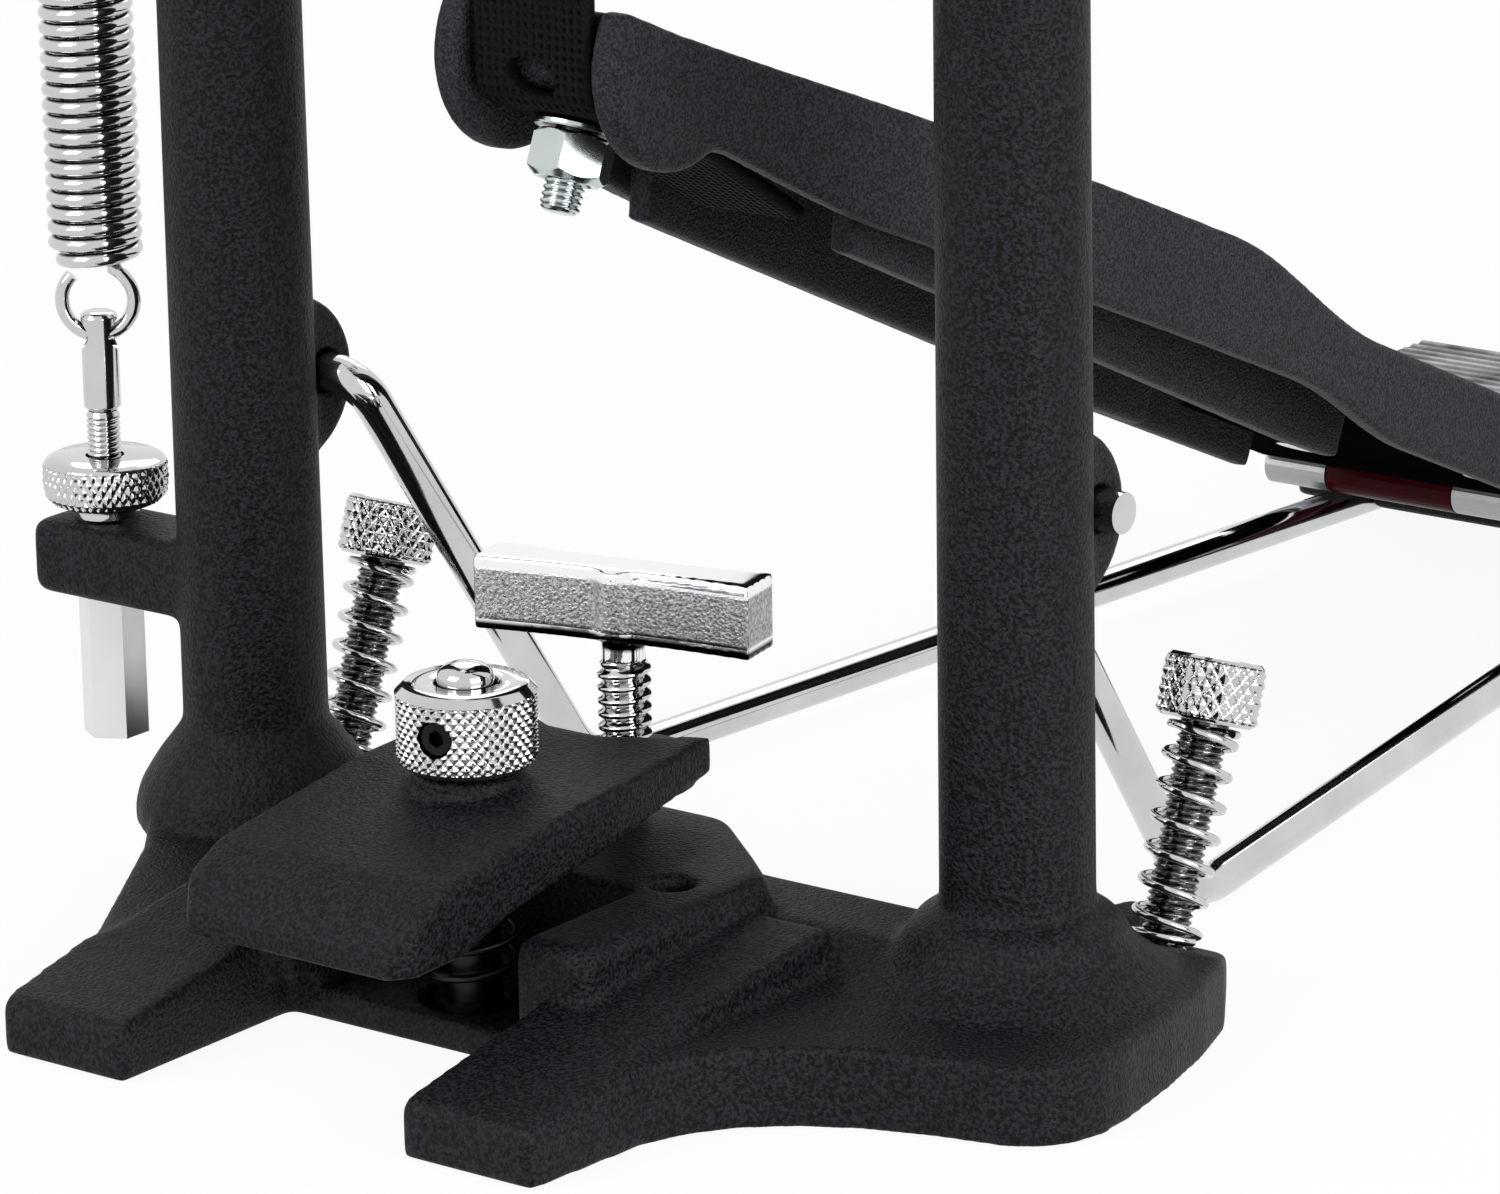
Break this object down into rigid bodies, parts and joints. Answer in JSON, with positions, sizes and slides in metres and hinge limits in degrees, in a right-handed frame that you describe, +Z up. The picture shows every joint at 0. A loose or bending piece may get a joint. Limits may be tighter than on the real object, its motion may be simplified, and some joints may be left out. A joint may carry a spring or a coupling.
{
  "type": "bass drum pedal",
  "caption": "Strap-drive bass drum pedal: a black cast frame with a hoop clamp, sprung axle and felt beater, driven by a hinged footboard.",
  "frame": {"origin": "on the floor under the casting, midway between the posts and straight below the axle", "axes": "+X from the spring's post to the other post, +Y from the drum to the heel, +Z up"},
  "size_m": [0.1683, 0.351, 0.3369],
  "materials": {
    "powder": "black textured powder coat",
    "chrome": "bright plated steel",
    "zinc": "bright zinc plate",
    "red": "red gloss paint",
    "rubber": "matt moulded rubber",
    "nylon": "woven black nylon",
    "plastic": "satin moulded plastic",
    "felt": "pressed wool felt",
    "aluminium": "bright cast and milled metal"
  },
  "bodies": {
    "frame": {"pedestal_frame": "powder", "left_bearing_outer": "zinc", "right_bearing_outer": "zinc", "clamp_stud": "chrome", "clamp_collar": "chrome", "collar_set_screw": "plastic", "clamp_spring": "chrome", "right_side_rod": "chrome", "left_side_rod": "chrome", "spring_eye_bolt": "chrome", "lock_nut": "chrome", "heel_plate": "powder", "tread_plate": "aluminium", "heel_mat": "rubber", "heel_hinge_leaf": "red", "hinge_pin": "chrome", "right_spur_spring": "chrome", "left_spur_spring": "chrome"},
    "footboard": {"footboard": "powder", "board_hinge_leaf": "aluminium", "right_leaf_screw": "zinc", "left_leaf_screw": "zinc", "strap_at_toe": "nylon", "strap_bolt": "zinc", "strap_nut": "zinc", "strap_washer": "zinc"},
    "axle": {"axle": "chrome", "left_bearing_inner": "zinc", "right_bearing_inner": "zinc", "drive_wheel": "aluminium", "strap_on_wheel": "nylon", "strap_bar": "zinc", "strap_screw": "zinc", "beater_hub": "aluminium", "beater_key_screw": "chrome", "hub_key_screw": "chrome", "rocker": "aluminium", "rocker_key_screw": "chrome"},
    "beater": {"beater_rod": "chrome", "beater_core": "plastic", "beater_felt": "felt"},
    "strap": {"strap_span": "nylon"},
    "spring": {"return_spring": "chrome"},
    "stirrup": {"spring_stirrup": "zinc"},
    "clamp": {"clamp_plate": "powder"},
    "wing_screw": {"wing_screw": "chrome"},
    "spur_right": {"right_spur": "chrome"},
    "spur_left": {"left_spur": "chrome"},
    "tension_nut": {"tension_nut": "chrome"}
  },
  "joints": [
    {"name": "footboard_press", "type": "hinge", "parent": "frame", "child": "footboard", "pos_m": [0, 0.196, 0.012], "axis": [1, 0, 0], "range_deg": [0, 6], "stiffness_Nm_per_rad": 20, "springref_deg": -8.59},
    {"name": "axle_turn", "type": "hinge", "parent": "frame", "child": "axle", "pos_m": [0, 0, 0.178], "axis": [1, 0, 0], "range_deg": [0, 45.5]},
    {"name": "strap_swing", "type": "hinge", "parent": "frame", "child": "strap", "pos_m": [0, -0.1289, 0.1582], "axis": [1, 0, 0], "range_deg": [-11.6, 0], "deforming": ["strap_span"]},
    {"name": "spring_swing", "type": "hinge", "parent": "frame", "child": "spring", "pos_m": [-0.0803, 0, 0.0655], "axis": [1, 0, 0], "range_deg": [-9.3, 0]},
    {"name": "stirrup_slide", "type": "slide", "parent": "spring", "child": "stirrup", "axis": [0, 0, 1], "range_m": [0, 0.0078], "deforming": ["return_spring"]},
    {"name": "beater_slide", "type": "slide", "parent": "axle", "child": "beater", "axis": [0, 0.7071, 0.7071], "range_m": [-0.025, 0.01]},
    {"name": "wing_screw_turn", "type": "hinge", "parent": "frame", "child": "wing_screw", "pos_m": [0, 0.001, 0.0178], "axis": [0, 0, 1], "range_deg": [-540, 540]},
    {"name": "clamp_tilt", "type": "hinge", "parent": "frame", "child": "clamp", "pos_m": [0, -0.028, 0.032], "axis": [1, 0, 0], "range_deg": [-3.05, 3.05], "deforming": ["clamp_spring"]},
    {"name": "spur_right_slide", "type": "slide", "parent": "frame", "child": "spur_right", "axis": [0, -0.3338, -0.9426], "range_m": [0, 0.006], "deforming": ["right_spur_spring"]},
    {"name": "spur_left_slide", "type": "slide", "parent": "frame", "child": "spur_left", "axis": [0, -0.3338, -0.9426], "range_m": [0, 0.006], "deforming": ["left_spur_spring"]},
    {"name": "tension_nut_turn", "type": "hinge", "parent": "frame", "child": "tension_nut", "pos_m": [-0.0803, 0, 0.0428], "axis": [0, 0, 1], "continuous": true}
  ],
  "couplings": [
    {"joint": "axle_turn", "follows": "footboard_press", "ratio": 7.5},
    {"joint": "strap_swing", "follows": "footboard_press", "ratio": -1.9167},
    {"joint": "spring_swing", "follows": "footboard_press", "ratio": -1.52},
    {"joint": "stirrup_slide", "follows": "footboard_press", "m_per_rad": 0.073339},
    {"joint": "clamp_tilt", "follows": "wing_screw_turn", "ratio": -0.0055556}
  ]
}
